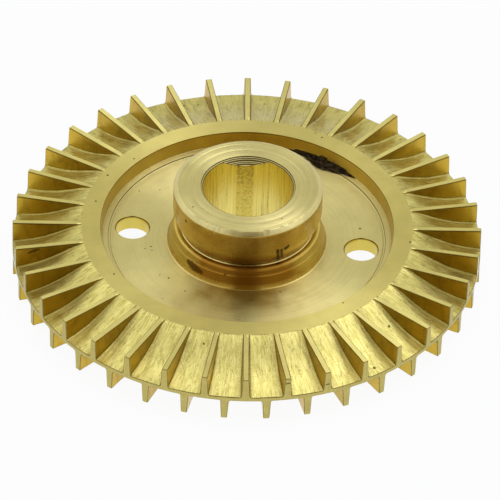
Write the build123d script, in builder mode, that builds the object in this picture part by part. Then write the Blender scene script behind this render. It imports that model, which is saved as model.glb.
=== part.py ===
"""Brass impeller of a peripheral pump, cast in one piece and turned.

A thin web carries 36 straight radial blades on each side, the lower ring half a pitch
behind the upper one. Inside the blades lie a flat land, a turned recess with two plain
through holes, and a hub with a D-shaped bore. +Z points out of the hub end, +Y along
the first upper blade. All sizes are in millimetres.
"""
from build123d import *
from math import cos, radians, sin, tan
import os

# rim and blades
outer_dia = 63.0
rim_height = 6.7
rim_corner = 0.12
web_edge = 0.65
blade_count = 36
blade_tip = 0.78
blade_foot = 1.06

# space between two blades; the points give radius and depth below the land
pocket_root_dia = 44.6
pocket_root_depth = 0.04
pocket_points = ((25.0, 1.2), (27.4, 2.18), (29.8, 2.78))
pocket_fillet = 0.38

# turned recess, the same on both sides
recess_dia = 39.4
recess_foot_dia = 38.8
ledge_depth = 2.05
ledge_inner_dia = 37.4
floor_depth = 2.25

# hub on the upper side
overall_height = 13.6
hub_dia = 20.0
hub_face_dia = 18.8
hub_bevel = 0.43
barrel_end = 10.1
barrel_blend = 2.5
undercut_angle = 25.0
neck_height = 7.2
shoulder_dia = 19.74
shoulder_height = 7.58
flare_dia = 21.1
hub_fillet = 0.42

# boss on the lower side
boss_dia = 20.0
boss_foot_dia = 20.8
boss_bevel = 0.3

# bore for the shaft end
shaft_dia = 12.0
bore_clearance = 0.1
flat_across = 11.2
flat_turn = 3.5
mouth_dia = 12.7
mouth_angle = 31.0
exit_chamfer = 0.3

# two through holes in the recess floor
hole_dia = 4.5
hole_circle_dia = 31.0
hole_turn = -6.8
hole_break = 0.12

# how far the shape of a pocket reaches past the metal: above it, inwards and outwards
over = 0.5
plan_inwards = 2.0
plan_outwards = 1.0
floor_inwards = 1.1
floor_outwards = 1.2
floor_outer_drop = 0.12

# sizes that follow from the ones above
outer_radius = outer_dia / 2
root_radius = pocket_root_dia / 2
bore_dia = shaft_dia + bore_clearance
bore_radius = bore_dia / 2
half_pitch = 180 / blade_count
mid_height = rim_height / 2
pocket_depth = mid_height - web_edge / 2
flat_distance = flat_across - bore_radius


def pocket_half_width(radius, depth):
    """Half the gap between two neighbouring blades, at a radius and a depth below the land."""
    thickness = blade_tip + (blade_foot - blade_tip) * depth / pocket_depth
    return radius * tan(radians(half_pitch)) - thickness / 2 / cos(radians(half_pitch))


def pocket_outline(depth):
    """Corners of the gap in plan, from inside the land to outside the rim."""
    inner = root_radius - plan_inwards
    outer = outer_radius + plan_outwards
    return [
        (inner, -pocket_half_width(inner, depth)),
        (outer, -pocket_half_width(outer, depth)),
        (outer, pocket_half_width(outer, depth)),
        (inner, pocket_half_width(inner, depth)),
    ]


# space between two upper blades: drafted sides, hollow floor running out into the land
with BuildPart() as pocket:
    with BuildSketch(Plane.XY.offset(rim_height + over)):
        with BuildLine():
            Polyline(*pocket_outline(-over), close=True)
        make_face()
    with BuildSketch(Plane.XY.offset(mid_height)):
        with BuildLine():
            Polyline(*pocket_outline(mid_height), close=True)
        make_face()
    loft()
    with BuildSketch(Plane.XZ):
        with BuildLine():
            floor = Spline(
                (root_radius - floor_inwards, rim_height + over),
                (root_radius, rim_height - pocket_root_depth),
                *((radius, rim_height - depth) for radius, depth in pocket_points),
                (outer_radius, rim_height - pocket_depth),
                (outer_radius + floor_outwards, rim_height - pocket_depth - floor_outer_drop),
            )
            Polyline(
                floor @ 1,
                (outer_radius + floor_outwards, rim_height + 2 * over),
                (root_radius - floor_inwards, rim_height + 2 * over),
                floor @ 0,
            )
        make_face()
    revolve(axis=Axis.Z, revolution_arc=360, mode=Mode.INTERSECT)
    floor_face = pocket.faces().filter_by(GeomType.PLANE, reverse=True).sort_by(SortBy.AREA)[-1]
    side_edges = floor_face.edges().filter_by(lambda e: e.length > outer_radius - root_radius - over)
    fillet(side_edges, radius=pocket_fillet)

with BuildPart() as impeller:
    # turned body: boss, lower recess, rim, upper recess and hub
    with BuildSketch(Plane.XZ):
        with BuildLine():
            Polyline(
                (0, 0),
                (boss_dia / 2 - boss_bevel, 0),
                (boss_dia / 2, boss_bevel),
                (boss_foot_dia / 2, floor_depth),
                (ledge_inner_dia / 2, floor_depth),
                (ledge_inner_dia / 2, ledge_depth),
                (recess_foot_dia / 2, ledge_depth),
                (recess_dia / 2, 0),
                (outer_radius, 0),
                (outer_radius, rim_height),
                (recess_dia / 2, rim_height),
                (recess_foot_dia / 2, rim_height - ledge_depth),
                (ledge_inner_dia / 2, rim_height - ledge_depth),
                (ledge_inner_dia / 2, rim_height - floor_depth),
                (flare_dia / 2, rim_height - floor_depth),
                (shoulder_dia / 2, shoulder_height),
            )
            blend = JernArc(
                (hub_dia / 2, barrel_end), (0, -1), radius=barrel_blend, arc_size=-undercut_angle
            )
            undercut = PolarLine(
                blend @ 1,
                (barrel_end - neck_height - barrel_blend * sin(radians(undercut_angle)))
                / cos(radians(undercut_angle)),
                direction=blend % 1,
            )
            Line(undercut @ 1, (shoulder_dia / 2, shoulder_height))
            Polyline(
                blend @ 0,
                (hub_dia / 2, overall_height - hub_bevel),
                (hub_face_dia / 2, overall_height),
                (0, overall_height),
                (0, 0),
            )
        make_face()
    revolve(axis=Axis.Z)

    # rounded corners: foot of the hub, foot of the boss and rim
    rings = impeller.edges().filter_by(GeomType.CIRCLE)
    fillet(rings.filter_by(lambda e: abs(e.radius - flare_dia / 2) < 0.01), radius=hub_fillet)
    rings = impeller.edges().filter_by(GeomType.CIRCLE)
    fillet(rings.filter_by(lambda e: abs(e.radius - boss_foot_dia / 2) < 0.01), radius=hub_fillet)
    rings = impeller.edges().filter_by(GeomType.CIRCLE)
    fillet(rings.filter_by(lambda e: abs(e.radius - outer_radius) < 0.01), radius=rim_corner)

    # upper blades stand between the upper pockets, lower blades half a pitch further on
    with PolarLocations(0, blade_count, start_angle=90 + half_pitch):
        add(pocket.part, mode=Mode.SUBTRACT)
    lower_pocket = mirror(pocket.part, about=Plane.XY.offset(mid_height), mode=Mode.PRIVATE)
    with PolarLocations(0, blade_count, start_angle=90):
        add(lower_pocket, mode=Mode.SUBTRACT)

    # D-shaped bore with its flat on the +Y side
    with BuildSketch():
        Circle(bore_radius)
        with Locations(Rotation(0, 0, flat_turn) * Pos(0, flat_distance)):
            Rectangle(bore_dia, bore_dia, align=(Align.CENTER, Align.MIN), mode=Mode.SUBTRACT)
    extrude(amount=overall_height, mode=Mode.SUBTRACT)

    # turned mouth of the bore and small chamfer at its lower end
    with BuildSketch(Plane.XZ):
        with BuildLine():
            Polyline(
                (0, overall_height),
                (mouth_dia / 2, overall_height),
                (0, overall_height - mouth_dia / 2 * tan(radians(mouth_angle))),
                close=True,
            )
        make_face()
    revolve(axis=Axis.Z, mode=Mode.SUBTRACT)
    with BuildSketch(Plane.XZ):
        with BuildLine():
            Polyline(
                (0, 0),
                (bore_radius + exit_chamfer, 0),
                (0, bore_radius + exit_chamfer),
                close=True,
            )
        make_face()
    revolve(axis=Axis.Z, mode=Mode.SUBTRACT)

    # two through holes with broken edges
    with PolarLocations(hole_circle_dia / 2, 2, start_angle=hole_turn):
        Hole(hole_dia / 2)
    hole_rims = impeller.edges().filter_by(GeomType.CIRCLE)
    chamfer(hole_rims.filter_by(lambda e: abs(e.radius - hole_dia / 2) < 0.01), length=hole_break)

impeller.part.label = "impeller"

os.makedirs("parts", exist_ok=True)
export_step(impeller.part, "parts/impeller.step")
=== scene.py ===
"""Brass pump impeller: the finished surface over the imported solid, with floor, light and camera.

The surface is built from rings about the bore axis, in millimetres, and scaled to metres
when its mesh is made. Named angles are in degrees from +X, and the front, the side that the
camera looks at, is at -90 degrees.
"""
import math
import random

import bmesh
import bpy
import numpy as np
from mathutils import Matrix, Vector, noise
from mathutils.geometry import delaunay_2d_cdt


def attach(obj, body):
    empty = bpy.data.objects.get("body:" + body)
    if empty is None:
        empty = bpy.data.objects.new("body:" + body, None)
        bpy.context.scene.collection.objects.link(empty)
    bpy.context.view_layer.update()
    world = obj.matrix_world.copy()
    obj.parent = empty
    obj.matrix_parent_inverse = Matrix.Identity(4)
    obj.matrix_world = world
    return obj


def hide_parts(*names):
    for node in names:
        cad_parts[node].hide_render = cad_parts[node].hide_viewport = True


MM = 0.001

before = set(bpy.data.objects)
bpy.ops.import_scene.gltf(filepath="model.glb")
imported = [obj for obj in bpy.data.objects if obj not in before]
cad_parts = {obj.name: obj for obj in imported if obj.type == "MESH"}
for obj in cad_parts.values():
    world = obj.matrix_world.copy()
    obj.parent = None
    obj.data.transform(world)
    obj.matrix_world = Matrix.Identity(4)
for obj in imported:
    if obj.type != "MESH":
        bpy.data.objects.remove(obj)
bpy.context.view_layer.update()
rng = random.Random(36)

# sizes of the real object, as in the solid; R is a radius, Z a height. Only the rim is a few
# micrometres smaller, so that the skin stays inside the solid's box.
BLADES = 36
PITCH = 360 / BLADES
RIM_R = 31.496
TOP = 6.7
MID = 3.35
BLADE_TIP = 0.78
BLADE_FOOT = 1.06
POCKET_DEPTH = 3.025
ROOT_R = 22.3
RECESS_R = 19.7
WALL_FOOT_R = 19.4
STEP_R = 18.7
LEDGE_Z = 4.65
FLOOR_Z = 4.45
LOW_LEDGE_Z = 2.05
LOW_FLOOR_Z = 2.25
HUB_TOP = 13.6
HOLE_CIRCLE_R = 15.5
HOLE_R = 2.25
HOLE_TURN = -6.8
HOLE_BREAK = 0.12
BORE_R = 6.05
FLAT = 5.15
FLAT_TURN = 93.5
MOUTH_R = 6.35
MOUTH_SLOPE = math.tan(math.radians(31))

# broken edges and fillets as cast and turned
EDGE = 0.09
FOOT_FILLET = 0.26
RIM_BREAK = 0.07
RIM_BREAK_HEIGHT = 0.09

# how far the cast faces are off their plain shape
SIDE_WAVE = 0.018
FILLET_WAVE = 0.03
FLOOR_WAVE = 0.02

# points in a ring on the upper side and in the bore, on the lower side, and round a hole
COUNT = 396
LOW_COUNT = 300
HOLE_COUNT = 72

# finishes in the order of the mesh's material slots, with the colour of the clean metal; some of
# these colours are painted shade or a painted highlight, as marked
BRASS = {
    "land": (0.490, 0.415, 0.118),
    "floor": (0.545, 0.470, 0.175),
    # wall, hub_side, hub_foot and blade_side: browner, more orange copies of the brass, painted
    # shade on the upright faces
    "wall": (0.560, 0.395, 0.075),
    "hub_side": (0.560, 0.390, 0.075),
    "hub_foot": (0.580, 0.430, 0.090),
    # the lip's paler colour is a painted highlight along its thin bright line
    "burr": (0.720, 0.600, 0.220),
    "bevel": (0.600, 0.520, 0.220),
    "hub_top": (0.510, 0.440, 0.165),
    # mouth, on the risers of the steps into the bore, is nearly black as painted shade; tread, on
    # the steps' treads, is paler
    "mouth": (0.130, 0.100, 0.030),
    "tread": (0.360, 0.300, 0.110),
    "bore": (0.780, 0.650, 0.180),
    "pocket": (0.620, 0.550, 0.175),
    "blade_top": (0.550, 0.480, 0.145),
    "blade_side": (0.540, 0.370, 0.040),
    "rim": (0.570, 0.490, 0.160),
    "hole": (0.720, 0.580, 0.120),
}
FINISH = {name: slot for slot, name in enumerate(BRASS)}


def wobble(x, y, z, scale, seed=0.0):
    """Smooth noise between about -1 and 1 at a place in millimetres."""
    return noise.noise(Vector((x * scale + seed, y * scale - seed, z * scale + 3 * seed)))


class Skin:
    """Points, faces, a finish for each face and two numbers for each point.

    crease is 1 on an edge painted dark as shade: cast metal darkens from 0.35 up and turned metal
    from 0.7 up.
    Below -0.1 it marks the pale strip at a blade's foot. stain is 1 inside the rough patch.
    """

    def __init__(self):
        self.points = []
        self.faces = []
        self.finish = []
        self.crease = []
        self.stain = []

    def ring(self, points, crease=None, stain=None):
        start = len(self.points)
        self.points.extend((float(p[0]), float(p[1]), float(p[2])) for p in points)
        count = len(self.points) - start
        self.crease.extend(crease if crease is not None else [0.0] * count)
        self.stain.extend(stain if stain is not None else [0.0] * count)
        return list(range(start, start + count))

    def face(self, corners, finish):
        self.faces.append(tuple(corners))
        self.finish.append(FINISH[finish])

    def band(self, a, b, finish):
        """Faces between two closed rings with as many points each, in one finish or a list."""
        names = finish if isinstance(finish, list) else [finish] * len(a)
        for i in range(len(a)):
            j = (i + 1) % len(a)
            self.face((a[i], a[j], b[j], b[i]), names[i])

    def seam(self, a, b, finish):
        """Triangles between two closed rings with different numbers of points."""
        def angles(ring):
            raw = [math.atan2(self.points[i][1], self.points[i][0]) for i in ring]
            first = min(range(len(raw)), key=lambda i: raw[i] % math.tau)
            ring = ring[first:] + ring[:first]
            raw = [v % math.tau for v in raw[first:] + raw[:first]]
            return ring + ring[:1], raw + [raw[0] + math.tau]

        a, at = angles(a)
        b, bt = angles(b)
        i = j = 0
        while i < len(a) - 1 or j < len(b) - 1:
            if j == len(b) - 1 or (i < len(a) - 1 and at[i + 1] <= bt[j + 1]):
                self.face((a[i], a[i + 1], b[j]), finish)
                i += 1
            else:
                self.face((a[i], b[j + 1], b[j]), finish)
                j += 1


skin = Skin()

# radius and depth of the points that the curve of the pocket floor is drawn through
POCKET_POINTS = ((ROOT_R, 0.04), (25.0, 1.2), (27.4, 2.18), (29.8, 2.78), (31.5, POCKET_DEPTH))
POCKET_MIDDLE = 27
pocket_curve = np.polyfit([r - POCKET_MIDDLE for r, _ in POCKET_POINTS],
                          [depth for _, depth in POCKET_POINTS], 4)


def pocket_depth(r):
    """Depth of the pocket floor below the land at a radius."""
    return float(np.polyval(pocket_curve, r - POCKET_MIDDLE))


class Blade:
    """The small differences that one cast blade has from the next."""

    def __init__(self):
        self.turn = math.radians(rng.uniform(-0.12, 0.12))
        self.thick = rng.uniform(0.95, 1.06)
        self.lean = rng.uniform(-0.04, 0.04)
        self.foot = (rng.uniform(0.75, 1.25), rng.uniform(0.75, 1.25))
        self.seed = rng.uniform(0, 90)

    def half(self, depth, r, side):
        """Half the thickness on one side at a depth, with its slight unevenness."""
        plain = (BLADE_TIP + (BLADE_FOOT - BLADE_TIP) * depth / POCKET_DEPTH) / 2 * self.thick
        return plain + SIDE_WAVE * wobble(r, depth * 2, side * 7.0, 1.3, self.seed)


# share of a blade's side and crease, turn round its fillet and crease, share of the floor
SIDE_STEPS = ((0.0, 1.0), (0.06, 0.0), (0.36, 0.0), (0.68, 0.0), (0.93, 0.0), (1.0, 0.85))
FILLET_STEPS = ((22.5, 0.5), (45.0, -0.4), (67.5, -0.4), (90.0, -0.4))
FLOOR_STEPS = (0.25, 0.5, 0.75)
SIDE_DRAFT = 0.003
LEAST_FILLET = 0.1
LEAST_DEPTH = 0.03


def half_pocket(blade, r, side, floor_depth, inset):
    """Columns from a blade's top edge down to the pocket floor on one side.

    Each column is (offset from the blade's centre plane, depth, crease). inset moves the
    outline into the metal, for the broken edge round the rim.
    """
    edge = min(EDGE, 0.4 * floor_depth)
    drop = min(blade.foot[side > 0] * FOOT_FILLET, 0.6 * floor_depth)
    width = max(drop, LEAST_FILLET)
    side_end = floor_depth - drop
    columns = [(blade.half(0, r, side) - EDGE - 0.5 * inset, inset, 0.75)]
    for n, (share, crease) in enumerate(SIDE_STEPS):
        depth = edge + (side_end - edge) * share
        offset = blade.half(depth, r, side) + SIDE_DRAFT * n - inset
        columns.append((offset, max(depth, inset), crease))
    start = blade.half(side_end, r, side) + SIDE_DRAFT * len(SIDE_STEPS)
    for turn, crease in FILLET_STEPS:
        a = math.radians(turn)
        rough = FILLET_WAVE * wobble(r, turn * 0.05, side * 3.0, 2.6, blade.seed + 5)
        rough *= math.sin(2 * a)
        offset = start + width * (1 - math.cos(a)) - inset * math.cos(a)
        depth = side_end + drop * math.sin(a) + inset * math.sin(a)
        columns.append((offset, depth + rough * (drop / FOOT_FILLET), crease))
    return columns


def blade_ring(r, blades, first_turn, upper, inset=0.0, flat=False):
    """All columns of one radius, as points, creases and the finish between neighbours.

    flat lays them all at the height of the land, without creases.
    """
    floor_depth = max(pocket_depth(r), LEAST_DEPTH)
    sides = ["blade_side"] * len(SIDE_STEPS)
    fillets = ["pocket"] * len(FILLET_STEPS)
    points, creases, names = [], [], []

    def place(angle, depth, crease, name):
        if flat:
            depth = crease = 0.0
        z = TOP - depth if upper else depth
        points.append((r * math.cos(angle), r * math.sin(angle), z))
        creases.append(crease)
        names.append(name)

    for k, blade in enumerate(blades):
        after = blades[(k + 1) % BLADES]
        here = math.radians(first_turn + PITCH * k) + blade.turn
        there = math.radians(first_turn + PITCH * (k + 1)) + after.turn
        place(here + blade.lean / r, inset, 0.0, "blade_top")
        right = half_pocket(blade, r, 1, floor_depth, inset)
        left = half_pocket(after, r, -1, floor_depth, inset)
        for (offset, depth, crease), name in zip(right, ["blade_side"] + sides + fillets):
            lean = blade.lean * (1 - min(depth / floor_depth, 1)) / r
            place(here + (math.asin(offset / r) + lean), depth, crease, name)
        start = here + math.asin(right[-1][0] / r)
        end = there - math.asin(left[-1][0] / r)
        x, y = r * math.cos(start), r * math.sin(start)
        for share in FLOOR_STEPS:
            uneven = FLOOR_WAVE * wobble(x, y, share * 5, 0.9, blade.seed)
            settle = uneven * min(1, max(0, (r - ROOT_R) / 2))
            # painted shade: the line between land and pockets is darkened only at the back
            crease = 0.8 if r < ROOT_R + 0.1 and math.sin(start) > 0.5 else 0.0
            place(start + (end - start) * share, floor_depth + inset + settle, crease, "pocket")
        for (offset, depth, crease), name in zip(reversed(left), fillets + sides + ["blade_top"]):
            lean = after.lean * (1 - min(depth / floor_depth, 1)) / r
            place(there - (math.asin(offset / r) - lean), depth, crease, name)
    return points, creases, names


# radii of the rings of points between root and rim
ROWS = [22.3, 22.45, 22.7, 23.0, 23.4, 23.9, 24.4, 25.0, 25.6, 26.2, 26.8, 27.4, 28.0, 28.6,
        29.2, 29.8, 30.3, 30.8, 31.2]
ROOT_LIP = 0.05
BELT_OFF_MID = 0.1
OUTER_CREASE = 0.72
RIM_CREASE = 0.85


def blade_wheel(upper, first_turn):
    """One ring of blades. Returns its innermost ring and a plain ring round the rim."""
    blades = [Blade() for _ in range(BLADES)]
    points, creases, _ = blade_ring(ROOT_R - ROOT_LIP, blades, first_turn, upper, flat=True)
    root = previous = skin.ring(points, creases)
    for r in ROWS + [RIM_R - RIM_BREAK]:
        points, creases, names = blade_ring(r, blades, first_turn, upper)
        ring = skin.ring(points, [OUTER_CREASE] * len(points) if r > ROWS[-1] else creases)
        skin.band(previous, ring, names)
        previous = ring
    for inset, crease in ((RIM_BREAK, RIM_CREASE), (RIM_BREAK + RIM_BREAK_HEIGHT, 0.0)):
        points, _, _ = blade_ring(RIM_R, blades, first_turn, upper, inset=inset)
        ring = skin.ring(points, [crease] * len(points))
        skin.band(previous, ring, "rim")
        previous = ring
    belt_z = MID + (BELT_OFF_MID if upper else -BELT_OFF_MID)
    belt = skin.ring([(x, y, belt_z) for x, y, _ in points])
    skin.band(ring, belt, "rim")
    return root, belt


# the lower blades stand half a pitch behind the upper ones
upper_root, upper_belt = blade_wheel(True, 90.0)
lower_root, lower_belt = blade_wheel(False, 90.0 + PITCH / 2)
skin.seam(upper_belt, lower_belt, "rim")

# rough patch left as cast at the foot of the recess wall: angle, inner radius of its edge
PATCH = [(38.5, 19.6), (41.0, 19.3), (44.6, 18.95), (47.5, 18.6), (51.7, 18.15), (54.7, 17.85),
         (57.5, 17.75), (59.6, 18.0), (62.6, 18.5), (68.0, 18.95), (72.5, 19.2), (77.5, 19.6)]
PATCH_START = PATCH[0][0]
PATCH_END = PATCH[-1][0]
PATCH_RISE = 0.55
PATCH_FADE = 0.22
PATCH_DEPTH = 0.1
PATCH_RELIEF = 0.22
PATCH_WALL_R = 19.3
PATCH_WALL_SHARE = 0.2
# finer points on the floor where the patch reaches into it: radii, first and last angle
PATCH_ROWS = (17.9, 17.75, 17.6, 17.45)
PATCH_TURNS = (41, 74)
PATCH_COUNT = 90

# dents on the bevel: angle, spread and strength; heights and least radius of the rings they reach
DENTS = ((236, 16, 1.0), (300, 25, 0.25))
DENT_DEPTH = 0.13
DENT_GRAIN = 0.012
DENT_LOW = 13.0
DENT_HIGH = 13.59
DENT_INNER_R = 9.3


def patch_share(x, y, z):
    """How far inside the rough patch a point lies: 0 outside, 1 well within."""
    angle = math.degrees(math.atan2(y, x))
    if not PATCH_START < angle < PATCH_END:
        return 0.0
    along = math.pi * (angle - PATCH_START) / (PATCH_END - PATCH_START)
    if z > LEDGE_Z + PATCH_RISE * math.sin(along):
        return 0.0
    inner = float(np.interp(angle, [p[0] for p in PATCH], [p[1] for p in PATCH]))
    inner += 0.12 * wobble(x, y, 0, 1.7, 4.0)
    return max(0.0, min(1.0, (math.hypot(x, y) - inner) / PATCH_FADE))


def patch_sink(x, y, z):
    """How far the rough patch lies below the turned metal."""
    return PATCH_DEPTH + PATCH_RELIEF * (0.5 + 0.5 * wobble(x, y, z, 2.4, 9.0))


def patched(a, r, z):
    """Radius, height and stain of a recess point at an angle in radians."""
    x, y = r * math.cos(a), r * math.sin(a)
    share = patch_share(x, y, z)
    reach = 1 if r < PATCH_WALL_R else PATCH_WALL_SHARE
    return r, z - share * patch_sink(x, y, z) * reach, share


def dented(a, r, z):
    """Radius, height and stain of a hub point: dents on the bevel, mostly at its front left."""
    if not (DENT_LOW < z < DENT_HIGH and r > DENT_INNER_R):
        return r, z, 0.0
    near = sum(strength * math.exp(-((math.degrees(a) - turn) / spread) ** 2)
               for turn, spread, strength in DENTS)
    rough = wobble(10 * math.cos(a), 10 * math.sin(a), z, 1.9, 2.0)
    sink = -DENT_DEPTH * near * max(0.0, rough + 0.25) - DENT_GRAIN * abs(rough)
    return r + sink, z + 0.6 * sink, 0.0


def profile(*groups):
    """Rows of (radius, height, finish, crease if any) from groups of a finish and its points."""
    return [(r, z, finish, *edge) for finish, *points in groups for r, z, *edge in points]


def turned(rows, count, start=None, change=None):
    """Rings for the rows of a profile, each joined to the one before in the row's finish."""
    previous = start
    for r, z, finish, *edge in rows:
        points, stains = [], []
        for i in range(count):
            a = math.tau * i / count
            own_r, own_z, stain = change(a, r, z) if change else (r, z, 0.0)
            points.append((own_r * math.cos(a), own_r * math.sin(a), own_z))
            stains.append(stain)
        ring = skin.ring(points, [edge[0] if edge else 0.0] * count, stains)
        if previous is not None:
            join = skin.band if len(previous) == len(ring) else skin.seam
            join(previous, ring, finish)
        previous = ring
    return previous


# upper land, recess wall, ledge and floor, from outside inwards
WALL_BREAK = 0.05
WALL_SLANT = 0.28
WALL_HEIGHT = TOP - 0.11 - LEDGE_Z
WALL_STEPS = 8
upper_recess = profile(
    ("land", (22.0, TOP), (21.0, TOP), (RECESS_R + WALL_BREAK, TOP, 0.6)),
    ("wall", (RECESS_R, TOP - WALL_BREAK, 1.0), (RECESS_R - 0.01, TOP - 0.14, 0.9),
     *((RECESS_R - WALL_SLANT * share, TOP - WALL_BREAK - WALL_HEIGHT * share)
       for share in (n / WALL_STEPS for n in range(1, WALL_STEPS + 1)))),
    ("floor", (WALL_FOOT_R - 0.06, LEDGE_Z, 0.95), (19.2, LEDGE_Z), (19.05, LEDGE_Z),
     (18.9, LEDGE_Z), (STEP_R + 0.03, LEDGE_Z, 0.6), (STEP_R - 0.03, LEDGE_Z - 0.05, 0.9),
     (STEP_R - 0.06, FLOOR_Z + 0.02, 1.0), (STEP_R - 0.12, FLOOR_Z, 0.6), (18.46, FLOOR_Z, 0.4),
     (18.4, FLOOR_Z - 0.05, 0.77), (18.34, FLOOR_Z, 0.4), (18.2, FLOOR_Z), (18.05, FLOOR_Z)))
upper_rim = turned(upper_recess, COUNT, upper_root, patched)

# hub from its foot over groove, lip, barrel and bevel to the mouth of the bore; CUT is the
# depth of the fine grooves in its face
CUT = 0.012
hub = profile(
    ("floor", (11.9, FLOOR_Z), (11.3, FLOOR_Z), (11.0, FLOOR_Z - 0.01), (10.86, FLOOR_Z - 0.03),
     (10.76, FLOOR_Z - 0.02), (10.69, FLOOR_Z + 0.03)),
    ("hub_side", (10.63, FLOOR_Z + 0.12), (10.53, FLOOR_Z + 0.32), (10.43, 5.05)),
    ("hub_foot", (10.33, 5.4), (10.24, 5.75), (10.2, 5.95), (10.17, 6.1), (10.17, 6.19),
     (10.1, 6.28), (10.05, 6.42), (10.01, 6.62), (9.97, 6.85), (9.92, 7.03), (9.85, 7.18),
     (9.76, 7.28), (9.64, 7.33), (9.45, 7.33), (9.25, 7.31), (9.1, 7.28)),
    # the lip's rings, in the pale colour of a painted highlight
    ("burr", (9.08, 7.31), (9.04, 7.36), (8.97, 7.39), (8.9, 7.37), (8.87, 7.32)),
    ("hub_foot", (8.86, 7.36)),
    ("hub_side", (8.92, 7.45), (9.04, 7.58), (9.3, 8.05), (9.55, 8.58), (9.77, 9.06),
     (9.89, 9.4), (9.97, 9.75), (10.0, 10.1), (10.0, 11.2), (10.0, 12.3), (10.0, 12.9),
     (9.99, 13.13)),
    ("bevel", (9.96, 13.18), (9.9, 13.24), (9.78, 13.33), (9.6, 13.46), (9.44, 13.57),
     (9.38, HUB_TOP)),
    ("hub_top", (9.22, HUB_TOP), (9.18, HUB_TOP - CUT), (9.13, HUB_TOP), (8.84, HUB_TOP),
     (8.8, HUB_TOP - CUT), (8.76, HUB_TOP), (8.0, HUB_TOP), (7.66, HUB_TOP),
     (7.62, HUB_TOP - CUT), (7.58, HUB_TOP), (7.0, HUB_TOP), (6.5, HUB_TOP),
     (MOUTH_R, HUB_TOP - 0.004)))
hub_foot = turned(hub[:1], COUNT)
previous = turned(hub[1:], COUNT, hub_foot, dented)

# bore: round with one flat, so each ring follows the same outline
corner = math.degrees(math.acos(FLAT / BORE_R))
bore_angles = [360 * i / COUNT for i in range(COUNT)]
for target in (FLAT_TURN - corner, FLAT_TURN + corner):
    nearest = min(range(COUNT), key=lambda i: abs(bore_angles[i] - target))
    bore_angles[nearest] = target
bore_r = [min(BORE_R, FLAT / max(math.cos(math.radians(a - FLAT_TURN)), 0.1))
          for a in bore_angles]


def bore_ring(radii, heights):
    return skin.ring([(r * math.cos(math.radians(a)), r * math.sin(math.radians(a)), z)
                      for r, z, a in zip(radii, heights, bore_angles)])


# mouth of the bore in uneven steps, which end where the bore's wall begins
TREAD_SHIFTS = (0.0, 0.03, -0.04, 0.02, -0.02)
RING_GAP = 0.002
tread = (MOUTH_R - FLAT) / len(TREAD_SHIFTS)
levels = []
for n, shift in enumerate(TREAD_SHIFTS):
    outer = MOUTH_R - tread * n + shift
    low = HUB_TOP - (MOUTH_R - outer + tread) * MOUTH_SLOPE
    levels += [(outer - 0.03, low + 0.02), (outer - 0.08, low), (outer - tread + 0.02, low - 0.006)]
for n, (level_r, level_z) in enumerate(levels):
    radii = [max(level_r, own + RING_GAP * (len(levels) - n)) for own in bore_r]
    heights = [level_z if level_r > own else HUB_TOP - (MOUTH_R - own) * MOUTH_SLOPE - RING_GAP * n
               for own in bore_r]
    ring = bore_ring(radii, heights)
    # risers in the dark mouth colour, as painted shade, and treads in the paler tread colour
    skin.band(previous, ring, "tread" if n % 3 == 2 else "mouth")
    previous = ring

# wall of the bore down to its lower chamfer
wall_top = [HUB_TOP - (MOUTH_R - r) * MOUTH_SLOPE - 0.04 for r in bore_r]
wall_foot = [MOUTH_R - r for r in bore_r]
for share in (0.02, 0.25, 0.5, 0.75, 1.0):
    ring = bore_ring(bore_r, [a + (b - a) * share for a, b in zip(wall_top, wall_foot)])
    skin.band(previous, ring, "bore")
    previous = ring
bore_foot = bore_ring([MOUTH_R] * COUNT, [0.0] * COUNT)
skin.band(previous, bore_foot, "bore")

# lower side: boss from its face to its foot, then land, wall, ledge and floor
boss = turned(profile(
    ("hub_top", (7.0, 0.0), (8.6, 0.0), (9.7, 0.0), (9.72, 0.02), (9.98, 0.27)),
    ("hub_side", (10.0, 0.3), (10.1, 0.8), (10.2, 1.3), (10.31, 1.83), (10.4, 2.03),
     (10.55, 2.18), (10.8, LOW_FLOOR_Z))), LOW_COUNT, bore_foot)
lower_rim = turned(profile(
    ("land", (22.0, 0.0), (21.0, 0.0), (RECESS_R + WALL_BREAK, 0.0)),
    ("wall", (RECESS_R, WALL_BREAK), (RECESS_R - 0.1, 0.7), (RECESS_R - 0.2, 1.4),
     (RECESS_R - WALL_SLANT, 1.99)),
    ("floor", (WALL_FOOT_R - 0.06, LOW_LEDGE_Z), (STEP_R + 0.03, LOW_LEDGE_Z),
     (STEP_R - 0.03, 2.1), (STEP_R - 0.1, LOW_FLOOR_Z), (18.0, LOW_FLOOR_Z))),
    LOW_COUNT, lower_root)

HOLE_CENTRES = [(HOLE_CIRCLE_R * math.cos(a), HOLE_CIRCLE_R * math.sin(a))
                for a in (math.radians(HOLE_TURN), math.radians(HOLE_TURN + 180))]
GRID = 0.95
HOLE_MARGIN = 0.6


def clear_of_holes(x, y, distance):
    return all(math.dist((x, y), centre) > distance for centre in HOLE_CENTRES)


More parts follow.
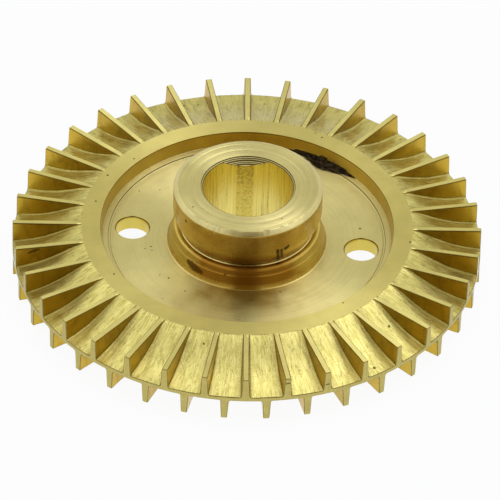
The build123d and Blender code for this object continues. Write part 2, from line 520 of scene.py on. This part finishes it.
def holed_floor(outer, inner, z, hole_rims):
    """Fills a flat ring round the hub, leaving the two holes open."""
    places, index, edges = [], [], []
    for loop in (outer, inner, *hole_rims):
        first = len(places)
        places.extend(Vector(skin.points[i][:2]) for i in loop)
        index.extend(loop)
        edges.extend((first + i, first + (i + 1) % len(loop)) for i in range(len(loop)))
    lo = math.hypot(*skin.points[inner[0]][:2])
    hi = math.hypot(*skin.points[outer[0]][:2])

    def add(x, y, height, stain=0.0):
        index.append(skin.ring([(x, y, height)], None, [stain])[0])
        places.append(Vector((x, y)))

    for r in np.arange(lo + 0.7, hi - 0.5, GRID):
        number = int(math.tau * r / GRID)
        for i in range(number):
            a = math.tau * i / number
            x, y = r * math.cos(a), r * math.sin(a)
            if clear_of_holes(x, y, HOLE_R + HOLE_MARGIN):
                add(x, y, z)
    if z == FLOOR_Z:
        first_turn, last_turn = PATCH_TURNS
        for r in PATCH_ROWS:
            for i in range(PATCH_COUNT):
                a = math.radians(first_turn + (last_turn - first_turn) * i / (PATCH_COUNT - 1))
                x, y = r * math.cos(a), r * math.sin(a)
                share = patch_share(x, y, z)
                add(x, y, z - share * patch_sink(x, y, z), share)
    _, _, faces, origins, _, _ = delaunay_2d_cdt(places, edges, [], 0, 1e-7)
    for face in faces:
        own = [index[origins[i][0]] for i in face]
        x = sum(skin.points[i][0] for i in own) / len(own)
        y = sum(skin.points[i][1] for i in own) / len(own)
        if lo < math.hypot(x, y) < hi and clear_of_holes(x, y, HOLE_R + HOLE_BREAK):
            skin.face(own, "floor")


def hole_ring(centre, r, z, crease=0.0):
    turns = [math.tau * i / HOLE_COUNT for i in range(HOLE_COUNT)]
    return skin.ring([(centre[0] + r * math.cos(a), centre[1] + r * math.sin(a), z) for a in turns],
                     [crease] * HOLE_COUNT)


hole_tops, hole_feet = [], []
for centre in HOLE_CENTRES:
    top = previous = hole_ring(centre, HOLE_R + HOLE_BREAK, FLOOR_Z)
    for r, z, crease in ((HOLE_R + 0.08, FLOOR_Z - 0.04, 1.0), (HOLE_R + 0.02, FLOOR_Z - 0.1, 1.0),
                         (HOLE_R, FLOOR_Z - 0.17, 0.3), (HOLE_R, FLOOR_Z - 0.5, 0.0),
                         (HOLE_R, MID, 0.0), (HOLE_R, LOW_FLOOR_Z + 0.14, 0.0),
                         (HOLE_R + HOLE_BREAK, LOW_FLOOR_Z, 0.0)):
        ring = hole_ring(centre, r, z, crease)
        skin.band(previous, ring, "hole")
        previous = ring
    hole_tops.append(top)
    hole_feet.append(previous)
holed_floor(upper_rim, hub_foot, FLOOR_Z, hole_tops)
holed_floor(lower_rim, boss, LOW_FLOOR_Z, hole_feet)


class Nodes:
    """A node tree with short calls for the nodes used here."""

    def __init__(self, tree):
        self.tree = tree
        self.tree.nodes.clear()

    def node(self, kind, values=(), **settings):
        made = self.tree.nodes.new(kind)
        for name, value in settings.items():
            setattr(made, name, value)
        for key, value in dict(values).items():
            self.fill(made.inputs[key], value)
        return made

    def fill(self, socket, value):
        """Links a node's output to a socket, or sets a plain value on it."""
        if isinstance(value, bpy.types.NodeSocket):
            self.tree.links.new(value, socket)
        else:
            socket.default_value = value

    def math(self, operation, a, b=0.0):
        return self.node("ShaderNodeMath", {0: a, 1: b}, operation=operation).outputs[0]

    def plus(self, a, b):
        return self.math("ADD", a, b)

    def times(self, a, b):
        return self.math("MULTIPLY", a, b)

    def most(self, a, b):
        return self.math("MAXIMUM", a, b)

    def centred(self, fac, reach):
        """A noise value shifted to lie round zero."""
        return self.times(self.math("SUBTRACT", fac, 0.5), reach)

    def spread(self, value, low, high, to_low=0.0, to_high=1.0):
        return self.node("ShaderNodeMapRange", {
            "Value": value, "From Min": low, "From Max": high,
            "To Min": to_low, "To Max": to_high}).outputs["Result"]

    def mix(self, share, a, b, blend="MIX"):
        made = self.node("ShaderNodeMix", {0: share}, data_type="RGBA", blend_type=blend)
        for socket, value in ((made.inputs[6], a), (made.inputs[7], b)):
            self.fill(socket, value if isinstance(value, bpy.types.NodeSocket) else (*value, 1.0))
        return made.outputs[2]

    def noise(self, vector, scale, detail=3.0, rough=0.5):
        return self.node("ShaderNodeTexNoise", {
            "Vector": vector, "Scale": scale, "Detail": detail, "Roughness": rough}).outputs["Fac"]

    def join(self, x, y, z):
        return self.node("ShaderNodeCombineXYZ", {0: x, 1: y, 2: z}).outputs[0]

    def attribute(self, name):
        return self.node("ShaderNodeAttribute", attribute_name=name).outputs["Fac"]

    def places(self):
        """Object place in millimetres, its three parts, the radius and the angle in radians."""
        place = self.node("ShaderNodeTexCoord").outputs["Object"]
        place = self.node("ShaderNodeVectorMath", {0: place, "Scale": 1 / MM},
                          operation="SCALE").outputs[0]
        x, y, z = self.node("ShaderNodeSeparateXYZ", {0: place}).outputs
        r = self.math("SQRT", self.plus(self.times(x, x), self.times(y, y)))
        return place, x, y, z, r, self.math("ARCTAN2", y, x)

    def pits(self, place, scale, size, share):
        """Sparse round pits: 1 in a pit, 0 elsewhere."""
        cells = self.node("ShaderNodeTexVoronoi", {"Vector": place, "Scale": scale})
        chosen = self.math("GREATER_THAN", cells.outputs["Color"], 1 - share)
        close = self.spread(cells.outputs["Distance"], size, size * 0.5)
        return self.times(chosen, close)

    def spots(self, place, spots):
        """Marks at given places: 1 in a mark, 0 elsewhere. A spot is (x, y, z, size)."""
        shown = 0.0
        for x, y, z, size in spots:
            away = self.node("ShaderNodeVectorMath", {0: place, 1: (x, y, z)}, operation="DISTANCE")
            shown = self.most(shown, self.spread(away.outputs["Value"], size, size * 0.55))
        return shown


class Shader(Nodes):
    """The node tree of a new material."""

    def __init__(self, name):
        self.material = bpy.data.materials.new(name)
        self.material.use_nodes = True
        super().__init__(self.material.node_tree)

    def surface(self, shader):
        self.node("ShaderNodeOutputMaterial", {"Surface": shader.outputs[0]})
        return self.material

    def metal(self, colour, roughness, height, reach, anisotropic=0.0, grooves="round"):
        """Metal. The gloss spreads across the grooves, which run round the axis or along it."""
        shader = self.node("ShaderNodeBsdfPrincipled", {
            "Base Color": colour, "Metallic": 1.0, "Roughness": roughness})
        if anisotropic:
            tangent = self.node("ShaderNodeTangent", direction_type="RADIAL", axis="Z")
            self.fill(shader.inputs["Anisotropic"], anisotropic)
            self.fill(shader.inputs["Anisotropic Rotation"], 0.25 if grooves == "round" else 0.0)
            self.fill(shader.inputs["Tangent"], tangent.outputs[0])
        bump = self.node("ShaderNodeBump", {"Height": height, "Distance": reach * MM})
        self.fill(shader.inputs["Normal"], bump.outputs[0])
        return self.surface(shader)


# colours of pits, scratches and worn places, and of painted shade along edges and creases and on
# the hub's front
TURNED_PIT = (0.10, 0.065, 0.015)
TURNED_EDGE_SHADE = (0.06, 0.04, 0.012)
TURNED_MARK = (0.035, 0.022, 0.006)
PATCH_DARK = (0.024, 0.016, 0.008)
PATCH_PALE = (0.115, 0.083, 0.038)
CAST_SCRATCH = (0.18, 0.13, 0.03)
CAST_CREASE_SHADE = (0.085, 0.055, 0.012)
CAST_STRIP = (0.47, 0.39, 0.115)
CAST_PIT = (0.055, 0.038, 0.012)
BORE_STREAK = (0.16, 0.10, 0.015)
BORE_WORN_DARK = (0.30, 0.20, 0.03)
BORE_WORN_PALE = (0.66, 0.53, 0.10)
BORE_PIT = (0.09, 0.055, 0.01)
# copper-brown painted shade for the hub's front
COPPER = (0.34, 0.165, 0.018)


def scaled(colour, factor):
    return tuple(min(1.0, c * factor) for c in colour)


def turned_finish(name, along_z=False, rough=0.3, anisotropic=0.45, lines=1.0, patch=False,
                  pit=0.12, front_shade=None, marks=(), mark_colour=TURNED_MARK):
    """Lathe-turned metal: fine lines round the axis, soft clouds and a few pits.

    along_z lets the lines follow each other in height, on a wall, and not in radius. front_shade
    is painted shade that darkens the metal towards the front, the camera's side: a colour, its
    share at the front, the angles from the front in radians where it begins to fade and ends,
    and the radius where it ends. marks are single dark spots.
    """
    s = Shader("brass_" + name)
    colour = BRASS[name]
    place, _, _, z, r, turn = s.places()
    across = z if along_z else r
    drift = s.times(turn, 0.35)
    fine = s.noise(s.join(s.times(across, 9.0), drift, 0.0), 1.0, 2.0)
    broad = s.noise(s.join(s.times(across, 2.3), drift, 4.0), 1.0, 2.0)
    cloud = s.noise(place, 0.33, 3.0, 0.55)
    tone = s.mix(s.spread(cloud, 0.35, 0.68), scaled(colour, 0.92), scaled(colour, 1.05))
    # painted shade towards the front, the camera's side
    if front_shade:
        shade, share, (fades, ends), far = front_shade
        off = s.plus(s.math("ABSOLUTE", s.plus(turn, math.pi / 2)), s.centred(cloud, 0.8))
        front = s.times(s.spread(off, ends, fades), s.spread(r, far, 0.72 * far))
        tone = s.mix(s.times(front, share), tone, shade)
    streak = s.plus(s.times(fine, 0.16 * lines), s.times(broad, 0.12 * lines))
    grey = s.plus(streak, 1 - 0.14 * lines)
    lined = s.node("ShaderNodeCombineColor", {0: grey, 1: grey, 2: grey}).outputs[0]
    tone = s.mix(1.0, tone, lined, "MULTIPLY")
    holes = s.pits(place, 0.55, 0.075, pit)
    tone = s.mix(s.times(holes, 0.75), tone, TURNED_PIT)
    # painted shade: dark lines along the creased edges
    line = s.spread(s.attribute("crease"), 0.7, 1.0)
    tone = s.mix(s.times(line, 0.9), tone, TURNED_EDGE_SHADE)
    if marks:
        spots = s.spots(place, marks)
        tone = s.mix(s.times(spots, 0.9), tone, mark_colour)
        holes = s.most(holes, s.times(spots, 0.5))
    roughness = s.spread(cloud, 0.3, 0.7, rough - 0.04, rough + 0.05)
    height = s.math("SUBTRACT", s.times(fine, 0.6 * lines), holes)
    if patch:
        grain = s.noise(place, 1.9, 4.0, 0.65)
        inside = s.spread(s.plus(s.attribute("stain"), s.centred(grain, 0.9)), 0.36, 0.5)
        tone = s.mix(inside, tone, s.mix(s.spread(grain, 0.42, 0.68), PATCH_DARK, PATCH_PALE))
        roughness = s.plus(roughness, s.times(inside, 0.35))
        height = s.plus(height, s.times(s.times(grain, inside), 9.0))
    return s.metal(tone, roughness, height, 0.012, anisotropic)


def cast_finish(name, dark, streaks=1.0, rough=0.36, marks=(), outer_shine=0.0):
    """As-cast metal: radial streaks, olive mottling, pits, and painted shade along the creases and
    towards the back and sides.

    outer_shine paints shade near the roots of the blades and light at the rim: the metal darker
    near the roots and brighter at the rim.
    """
    s = Shader("brass_" + name)
    colour = BRASS[name]
    place, x, y, z, r, turn = s.places()
    across = s.times(turn, 27.0)

    def radial(across_scale, r_scale, layer, detail, rough_share):
        where = s.join(s.times(across, across_scale), s.times(r, r_scale), layer)
        return s.noise(where, 1.0, detail, rough_share)

    streak = radial(2.6, 0.36, z, 4.0, 0.66)
    blotch = s.noise(place, 0.9, 4.0, 0.6)
    grain = s.noise(place, 5.5, 3.0, 0.6)
    fine = radial(8.5, 0.9, z, 2.0, 0.6)
    mottle = s.plus(s.times(streak, 0.5 * streaks), s.times(blotch, 0.3))
    mottle = s.plus(mottle, s.times(fine, 0.3 * streaks))
    middle = 0.4 * streaks + 0.15
    tone = s.mix(s.spread(mottle, middle - 0.12, middle + 0.08), dark, scaled(colour, 1.05))
    # painted shade: the metal darker towards the back and the sides
    back = s.spread(y, 10.0, 26.0, 0.0, 0.4)
    sides = s.spread(s.math("ABSOLUTE", x), 22.0, 29.0, 0.0, 0.4)
    tone = s.mix(s.most(back, sides), tone, scaled(dark, 0.85))
    # painted shade near the blade roots and painted light towards the rim
    if outer_shine:
        tone = s.mix(s.spread(r, 27.5, 23.0, 0.0, outer_shine), tone, scaled(dark, 0.8))
        tone = s.mix(s.spread(r, 26.5, 31.0, 0.0, outer_shine), tone, scaled(colour, 1.4))
    scratch = radial(1.7, 0.22, 7.0, 2.0, 0.5)
    scratch = s.spread(s.math("ABSOLUTE", s.math("SUBTRACT", scratch, 0.5)), 0.03, 0.01)
    scratch = s.times(scratch, s.spread(grain, 0.4, 0.56))
    tone = s.mix(s.times(scratch, 0.6 * streaks), tone, CAST_SCRATCH)
    # painted shade along the creases, broken up by the grain
    crease = s.attribute("crease")
    crease_shade = s.plus(s.times(s.spread(crease, 0.35, 1.0), 0.95), s.centred(grain, 0.7))
    crease_shade = s.times(s.spread(crease_shade, 0.3, 0.8), s.spread(crease, 0.0, 0.4))
    tone = s.mix(s.times(crease_shade, 0.85), tone, CAST_CREASE_SHADE)
    strip = s.spread(crease, -0.1, -0.4)
    tone = s.mix(s.times(strip, s.spread(grain, 0.46, 0.6)), tone, CAST_STRIP)
    holes = s.most(s.pits(place, 0.8, 0.10, 0.16), s.pits(place, 2.1, 0.13, 0.10))
    if marks:
        holes = s.most(holes, s.spots(place, marks))
    tone = s.mix(s.times(holes, 0.8), tone, CAST_PIT)
    roughness = s.spread(blotch, 0.3, 0.7, rough - 0.05, rough + 0.08)
    grazing = s.node("ShaderNodeLayerWeight", {"Blend": 0.5}).outputs["Facing"]
    roughness = s.times(roughness, s.spread(grazing, 0.8, 0.92, 1.0, 0.3))
    height = s.plus(s.times(streak, 1.3), s.times(grain, 1.1))
    height = s.plus(height, s.times(s.times(strip, grain), 3.5))
    height = s.math("SUBTRACT", height, s.times(holes, 3.0))
    return s.metal(tone, roughness, height, 0.014)


def bore_finish(name):
    """Broached metal: marks along the bore, and a rough strip left in the middle of the flat."""
    s = Shader("brass_" + name)
    colour = BRASS[name]
    place, x, y, z, _, turn = s.places()
    across = s.times(turn, BORE_R)
    marks = s.noise(s.join(s.times(across, 3.0), s.times(z, 0.09), 0.0), 1.0, 4.0, 0.62)
    grain = s.noise(s.join(s.times(across, 9.0), s.times(z, 1.6), 0.0), 1.0, 3.0)
    tone = s.mix(s.spread(marks, 0.38, 0.62), scaled(colour, 0.82), scaled(colour, 1.15))
    dark = s.times(s.spread(marks, 0.44, 0.36), s.spread(grain, 0.5, 0.64))
    tone = s.mix(s.times(dark, 0.6), tone, BORE_STREAK)
    ragged = s.centred(s.noise(s.join(0.0, x, z), 1.1, 2.0), 0.5)
    off = s.math("ABSOLUTE", s.plus(s.plus(x, 0.38), ragged))
    strip = s.times(s.spread(off, 1.18, 1.05), s.math("GREATER_THAN", y, 0.0))
    rough = s.noise(place, 4.2, 3.0, 0.6)
    lower = s.spread(z, 11.8, 8.0)
    worn = s.mix(s.spread(s.plus(rough, s.times(lower, 0.12)), 0.42, 0.62),
                 BORE_WORN_DARK, BORE_WORN_PALE)
    tone = s.mix(s.times(strip, 0.8), tone, worn)
    pits = s.times(s.pits(place, 2.3, 0.2, 0.45), s.math("LESS_THAN", y, 0.0))
    tone = s.mix(s.times(pits, 0.8), tone, BORE_PIT)
    height = s.plus(s.plus(s.times(marks, 2.0), grain), s.times(s.times(rough, strip), 2.2))
    roughness = s.spread(marks, 0.3, 0.7, 0.24, 0.34)
    return s.metal(tone, roughness, height, 0.02, 0.6, grooves="along")


def flat_marks(z, places):
    """Spots on a level face, from (x, y, size)."""
    return [(x, y, z, size) for x, y, size in places]


def pocket_marks(places):
    """Spots on the pocket floors, from (x, y, size)."""
    return [(x, y, TOP - pocket_depth(math.hypot(x, y)), size) for x, y, size in places]


# single pits and scratches that the photograph shows
LAND_MARKS = flat_marks(TOP, [
    (-18.9, 10.0, 0.2), (-15.4, 13.6, 0.16), (-20.4, 4.5, 0.18), (10.15, 18.87, 0.18),
    (9.3, 19.8, 0.14), (21.9, -2.8, 0.2), (12.8, -15.5, 0.16), (-17.7, -10.5, 0.18)])
FLOOR_MARKS = flat_marks(FLOOR_Z, [
    (-12.85, -2.07, 0.16), (-12.7, -2.8, 0.12), (-13.65, -2.5, 0.12), (-10.4, -8.5, 0.18),
    (-11.6, -7.9, 0.12), (-8.2, -11.1, 0.14), (15.27, 2.48, 0.2), (-14.6, 9.5, 0.14),
    (-11.8, 9.8, 0.12), (4.5, -10.9, 0.14)])
TOP_MARKS = flat_marks(HUB_TOP, [(4.5, -6.6, 0.14), (-7.35, -4.5, 0.16)])
POCKET_MARKS = pocket_marks([
    (-5.64, -23.43, 0.2), (16.96, -25.19, 0.24), (18.95, -18.1, 0.2), (9.49, 24.09, 0.2),
    (-23.7, 17.3, 0.2), (-8.72, 28.62, 0.24), (2.4, 29.1, 0.2), (-6.8, 28.7, 0.2),
    (-4.2, 29.5, 0.18), (-5.4, 25.5, 0.18), (-11.8, 23.3, 0.18)])
# two strokes, a nick and a pit on the hub's barrel
SIDE_MARKS = [
    (4.02, -9.14, 10.2, 0.3), (4.04, -9.11, 9.95, 0.31), (4.06, -9.07, 9.65, 0.31),
    (4.08, -8.95, 9.3, 0.31), (4.1, -8.78, 8.9, 0.31), (4.13, -8.58, 8.5, 0.31),
    (4.15, -8.38, 8.15, 0.31), (4.17, -8.19, 7.85, 0.31), (4.18, -8.05, 7.65, 0.27),
    (4.52, -8.9, 10.1, 0.26), (4.54, -8.86, 9.8, 0.28), (4.56, -8.77, 9.45, 0.28),
    (4.59, -8.62, 9.1, 0.28), (4.62, -8.42, 8.7, 0.27), (4.64, -8.24, 8.3, 0.25),
    (5.08, -8.61, 10.15, 0.32), (5.28, -8.49, 10.25, 0.32), (5.45, -8.38, 10.4, 0.24),
    (-8.24, -5.66, 12.09, 0.3)]
# stain on the hub's foot
STAIN_MARKS = [
    (-7.75, -6.7, 5.8, 0.55), (-7.35, -7.1, 5.7, 0.75), (-6.95, -7.5, 5.55, 0.8),
    (-6.5, -7.9, 5.5, 0.65), (-6.1, -8.25, 5.45, 0.45), (-2.9, -9.67, 6.26, 0.22)]
# notch in the side of a blade at the left, and nicks on the rim
NOTCH_MARKS = [
    (-29.15, -5.57, 5.88, 0.22), (-28.85, -5.52, 6.05, 0.3), (-28.5, -5.45, 6.18, 0.34),
    (-28.15, -5.39, 6.28, 0.3), (-27.8, -5.33, 6.32, 0.22)]
RIM_MARKS = [
    (5.3, -31.05, 5.9, 0.14), (5.49, -31.02, 5.91, 0.14), (5.68, -30.98, 5.92, 0.14),
    (10.6, -29.65, 4.66, 0.14), (10.79, -29.59, 4.66, 0.14), (10.98, -29.52, 4.66, 0.14)]

materials = {
    "land": turned_finish("land", rough=0.33, anisotropic=0.9, lines=0.45, pit=0.16,
                          marks=LAND_MARKS),
    # the floor's front shade is a painted reflection of the hub's dark front
    "floor": turned_finish("floor", rough=0.31, anisotropic=0.95, lines=1.5, patch=True, pit=0.16,
                           front_shade=((0.36, 0.24, 0.03), 0.75, (0.12, 0.5), 16.5),
                           marks=FLOOR_MARKS),
    "wall": turned_finish("wall", along_z=True, rough=0.3, anisotropic=0.8, patch=True),
    # hub_side and hub_foot darken to copper at the front: painted shade
    "hub_side": turned_finish("hub_side", along_z=True, rough=0.27, anisotropic=0.9, lines=1.3,
                              front_shade=(COPPER, 0.4, (0.45, 0.9), 20.0), marks=SIDE_MARKS),
    "hub_foot": turned_finish("hub_foot", along_z=True, rough=0.32, anisotropic=0.75,
                              front_shade=(COPPER, 0.95, (0.5, 0.85), 20.0), marks=STAIN_MARKS,
                              mark_colour=(0.11, 0.05, 0.01)),
    # the lip: pale as a painted highlight, and darker towards the front as painted shade
    "burr": turned_finish("burr", rough=0.34, anisotropic=0.0, lines=2.0, pit=0.0,
                          front_shade=((0.24, 0.16, 0.04), 0.85, (0.12, 0.3), 20.0)),
    # the bevel darkens towards the front: painted shade
    "bevel": turned_finish("bevel", rough=0.36, anisotropic=0.5, lines=2.4, pit=0.6,
                           front_shade=((0.34, 0.27, 0.09), 0.6, (0.08, 0.4), 20.0)),
    "hub_top": turned_finish("hub_top", rough=0.31, anisotropic=0.9, lines=2.2, marks=TOP_MARKS),
    "mouth": turned_finish("mouth", rough=0.4, anisotropic=0.0, lines=2.0, pit=0.3),
    "tread": turned_finish("tread", rough=0.36, anisotropic=0.3, lines=2.4, pit=0.3),
    "bore": bore_finish("bore"),
    "pocket": cast_finish("pocket", (0.42, 0.36, 0.085), marks=POCKET_MARKS),
    "blade_top": turned_finish("blade_top", rough=0.33, anisotropic=0.9, lines=0.6),
    "blade_side": cast_finish("blade_side", (0.36, 0.235, 0.030), streaks=0.6, marks=NOTCH_MARKS,
                              outer_shine=0.6),
    "rim": cast_finish("rim", (0.44, 0.36, 0.10), streaks=0.2, rough=0.33, marks=RIM_MARKS),
    "hole": turned_finish("hole", along_z=True, rough=0.3, anisotropic=0.0, lines=0.6, pit=0.0),
}


def in_scene(name, data):
    """A new object, linked into the scene."""
    made = bpy.data.objects.new(name, data)
    bpy.context.scene.collection.objects.link(made)
    return made


SHARP_FROM = math.radians(32)

mesh = bpy.data.meshes.new("impeller_skin")
mesh.from_pydata([(x * MM, y * MM, z * MM) for x, y, z in skin.points], [], skin.faces)
for name in BRASS:
    mesh.materials.append(materials[name])
mesh.polygons.foreach_set("material_index", skin.finish)
for name, values in (("crease", skin.crease), ("stain", skin.stain)):
    mesh.attributes.new(name, "FLOAT", "POINT").data.foreach_set("value", values)
work = bmesh.new()
work.from_mesh(mesh)
bmesh.ops.recalc_face_normals(work, faces=work.faces)
open_edges = sum(1 for edge in work.edges if len(edge.link_faces) != 2)
print("skin:", len(work.verts), "points", sum(len(f.verts) - 2 for f in work.faces), "triangles,",
      open_edges, "edges without two faces, volume", round(work.calc_volume() * 1e9, 1), "mm3")
work.to_mesh(mesh)
work.free()
mesh.shade_smooth()
mesh.set_sharp_from_angle(angle=SHARP_FROM)
impeller = in_scene("impeller_skin", mesh)
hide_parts("impeller")
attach(impeller, "root")

# white floor that shows as the background in reflections too, and keeps a soft shadow
FLOOR_HALF = 3
FLOOR_LEVEL = -0.00003
WHITE = (1.0, 1.0, 1.0, 1.0)
floor_mesh = bpy.data.meshes.new("studio_floor")
floor_mesh.from_pydata([(x * FLOOR_HALF, y * FLOOR_HALF, FLOOR_LEVEL)
                        for x, y in ((-1, -1), (1, -1), (1, 1), (-1, 1))], [], [(0, 1, 2, 3)])
studio_floor = in_scene("studio_floor", floor_mesh)
s = Shader("studio_floor")
path = s.node("ShaderNodeLightPath").outputs
seen = s.most(s.most(path["Is Camera Ray"], path["Is Glossy Ray"]), path["Is Transmission Ray"])
matt = s.node("ShaderNodeBsdfDiffuse", {"Color": (0.9, 0.9, 0.9, 1.0)})
white = s.node("ShaderNodeEmission", {"Color": WHITE, "Strength": 1.0})
both = s.node("ShaderNodeMixShader", {0: s.times(seen, 0.94), 1: matt.outputs[0],
                                      2: white.outputs[0]})
floor_mesh.materials.append(s.surface(both))

# white backdrop, which lights the object at a lower level
WORLD_LIGHT = 0.55
world = bpy.data.worlds.new("studio")
bpy.context.scene.world = world
world.use_nodes = True
w = Nodes(world.node_tree)
path = w.node("ShaderNodeLightPath").outputs
seen = w.most(path["Is Camera Ray"], path["Is Glossy Ray"])
backdrop = w.node("ShaderNodeBackground", {
    "Color": WHITE, "Strength": w.spread(seen, 0.0, 1.0, WORLD_LIGHT, 1.0)})
w.node("ShaderNodeOutputWorld", {"Surface": backdrop.outputs[0]})

LAMP_COLOUR = (0.97, 1.0, 1.3)


def softbox(name, place, along, width, length, level):
    """An area light aimed at the origin, that adds the given level where it is reflected."""
    light = bpy.data.lights.new(name, "AREA")
    light.color = LAMP_COLOUR
    light.shape = "RECTANGLE"
    light.size = width
    light.size_y = length
    light.energy = level * math.pi * width * length
    back = Vector(place).normalized()
    length_way = (Vector(along) - back * back.dot(Vector(along))).normalized()
    turn = Matrix((length_way.cross(back), length_way, back)).transposed()
    in_scene(name, light).matrix_world = Matrix.Translation(place) @ turn.to_4x4()


softbox("overhead", (0.0, 0.1, 1.1), (1, 0, 0), width=0.7, length=0.9, level=0.35)
softbox("right_lamp", (0.287, 0.352, 0.89), (0.574, -0.819, 0), width=0.36, length=0.62, level=2.4)
softbox("left_lamp", (-0.383, 0.44, 0.81), (0.766, 0.643, 0), width=0.36, length=0.62, level=0.9)

# dark card on the camera's side, curved over the object and seen only in the metal
CARD_R = 1.6
CARD_HALF = 0.46
CARD_START = 2
CARD_SPAN = 82
CARD_STEPS = 12
card_points, card_faces = [], []
for n in range(CARD_STEPS + 1):
    a = math.radians(CARD_START + CARD_SPAN * n / CARD_STEPS)
    for side in (-CARD_HALF, CARD_HALF):
        card_points.append((side, -CARD_R * math.cos(a), CARD_R * math.sin(a)))
    if n:
        card_faces.append((2 * n - 2, 2 * n - 1, 2 * n + 1, 2 * n))
card_mesh = bpy.data.meshes.new("dark_card")
card_mesh.from_pydata(card_points, [], card_faces)
card = in_scene("dark_card", card_mesh)
s = Shader("dark_card")
card_mesh.materials.append(s.surface(
    s.node("ShaderNodeEmission", {"Color": (0.20, 0.14, 0.062, 1.0), "Strength": 1.0})))
card.visible_camera = False
card.visible_shadow = False
card.visible_diffuse = False

# camera as fitted to the photograph's circles and blade corners: its distance, the height that
# it is aimed at, and how far that point lies off the picture's middle, in millimetres
ELEVATION = math.radians(40.442)
ROLL = math.radians(1.670)
AZIMUTH = math.radians(-0.914)
DISTANCE = 1000.0
AIM_Z = 6.4
OFF_RIGHT = -0.400
OFF_UP = 3.058
forward = np.array([0.0, math.cos(ELEVATION), -math.sin(ELEVATION)])
flat_right = np.array([1.0, 0.0, 0.0])
flat_up = np.array([0.0, math.sin(ELEVATION), math.cos(ELEVATION)])
right = flat_right * math.cos(ROLL) + flat_up * math.sin(ROLL)
up = -flat_right * math.sin(ROLL) + flat_up * math.cos(ROLL)
eye = -DISTANCE * forward + np.array([0, 0, AIM_Z]) - (OFF_RIGHT * right + OFF_UP * up)
lens = bpy.data.cameras.new("camera")
lens.sensor_width = 36.0
lens.lens = 535.74
lens.clip_start = 0.05
lens.clip_end = 20.0
camera = in_scene("camera", lens)
pose = Matrix([[right[i], up[i], -forward[i], eye[i] * MM] for i in range(3)] + [[0, 0, 0, 1]])
camera.matrix_world = Matrix.Rotation(AZIMUTH, 4, "Z") @ pose
bpy.context.scene.camera = camera
bpy.context.scene.view_settings.view_transform = "Standard"
